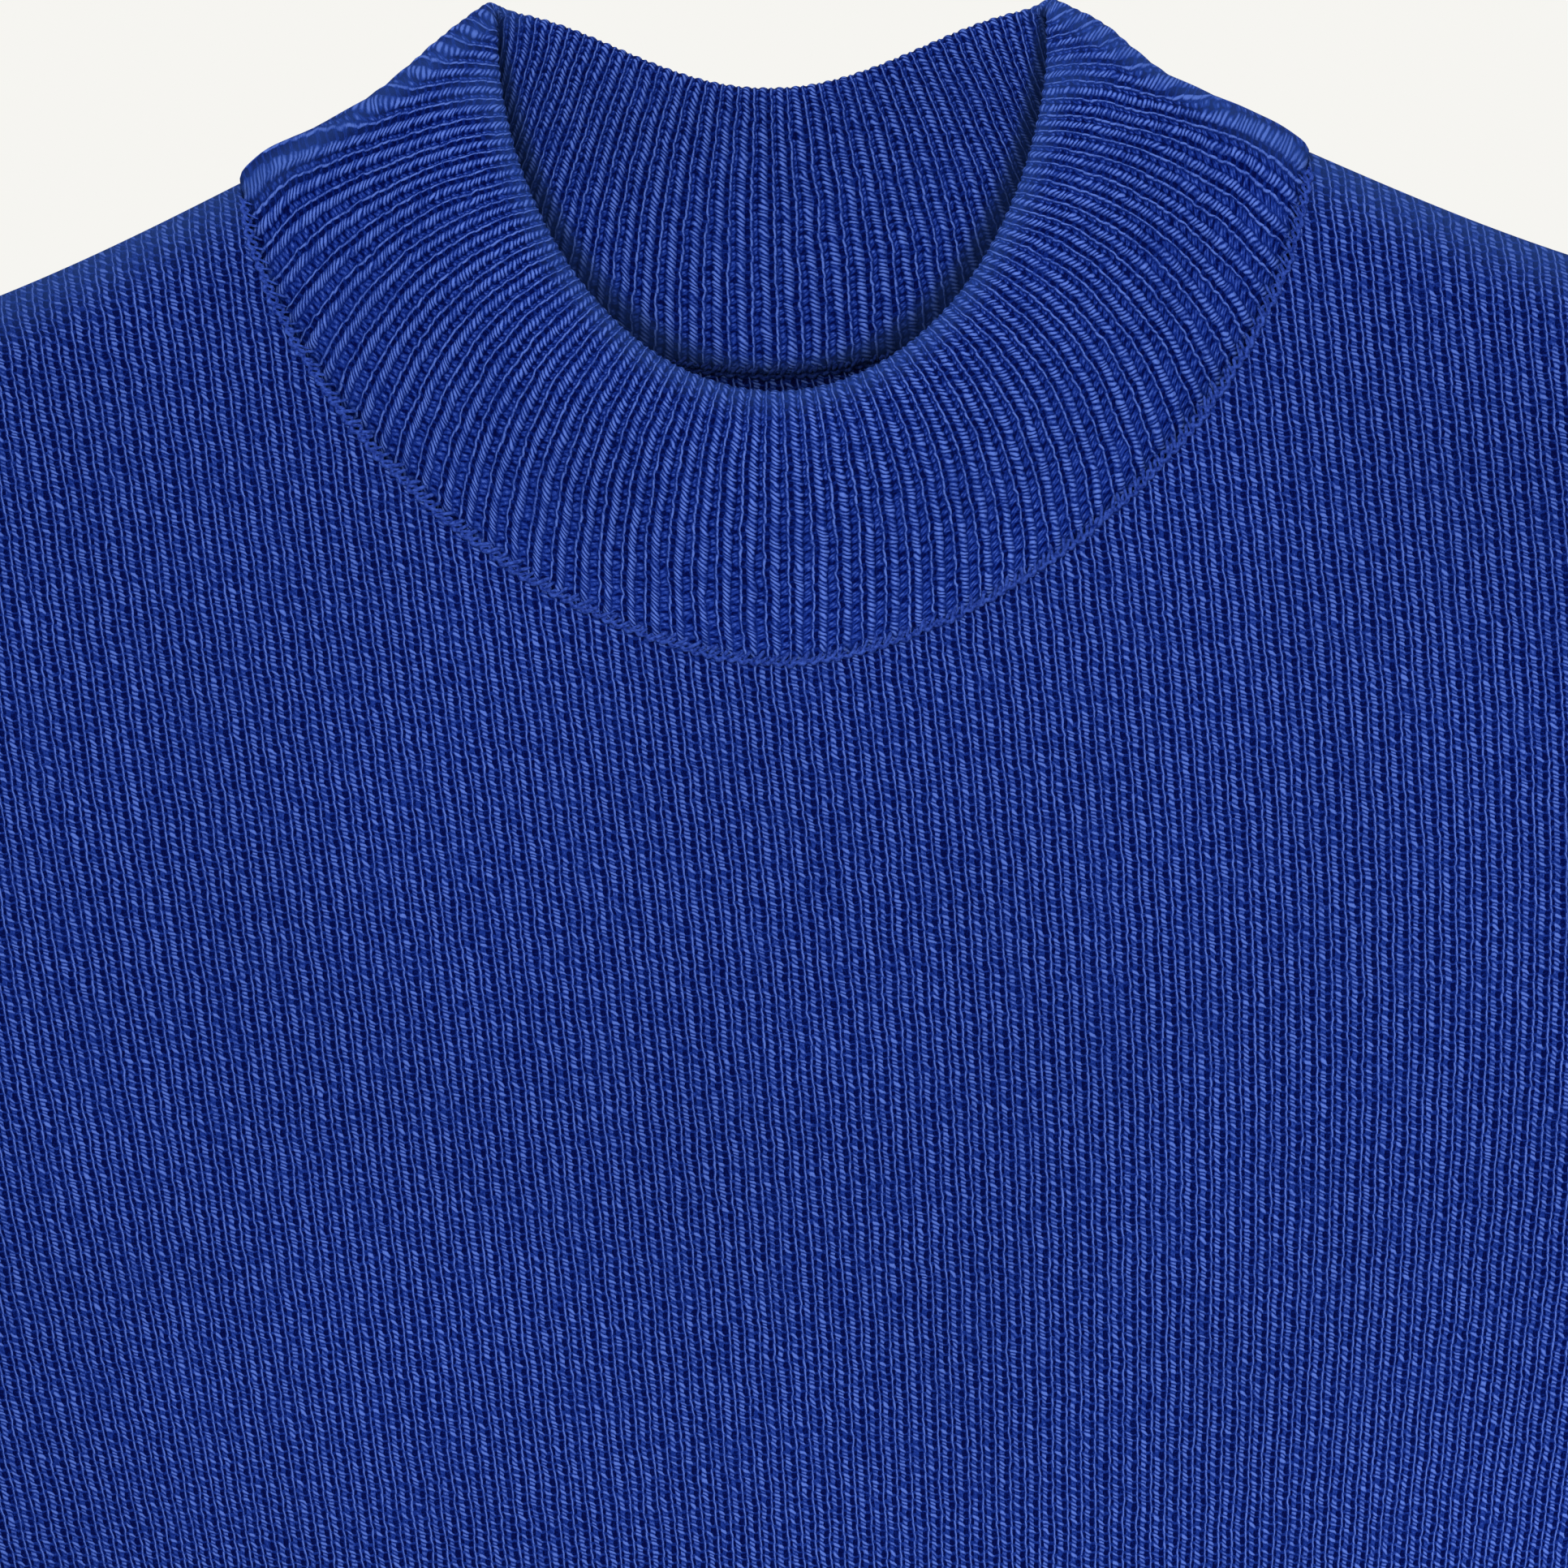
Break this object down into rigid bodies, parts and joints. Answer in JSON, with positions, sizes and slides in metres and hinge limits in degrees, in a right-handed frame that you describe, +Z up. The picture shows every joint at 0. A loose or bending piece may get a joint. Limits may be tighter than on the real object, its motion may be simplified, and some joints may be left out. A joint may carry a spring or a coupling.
{
  "type": "crewneck sweater, laid flat",
  "caption": "Long-sleeved knitted sweater with a wide ribbed mock neckband, laid flat on its back.",
  "frame": {"origin": "centre of the base of the sweater's box, on the surface that it lies on", "axes": "+Z up, out of the front; +Y towards the neck; +X towards the picture's right"},
  "size_m": [1.1226, 0.615, 0.014],
  "materials": {
    "blue_knit": "plain wool knit, matte with a soft sheen",
    "blue_rib": "one-by-one rib of the same wool"
  },
  "bodies": {
    "root": {"front_panel": "blue_knit", "back_panel": "blue_knit", "sleeve_left": "blue_knit", "sleeve_right": "blue_knit", "neckband": "blue_rib", "hem_front": "blue_rib", "hem_back": "blue_rib", "cuff_left": "blue_rib", "cuff_right": "blue_rib"}
  },
  "joints": []
}
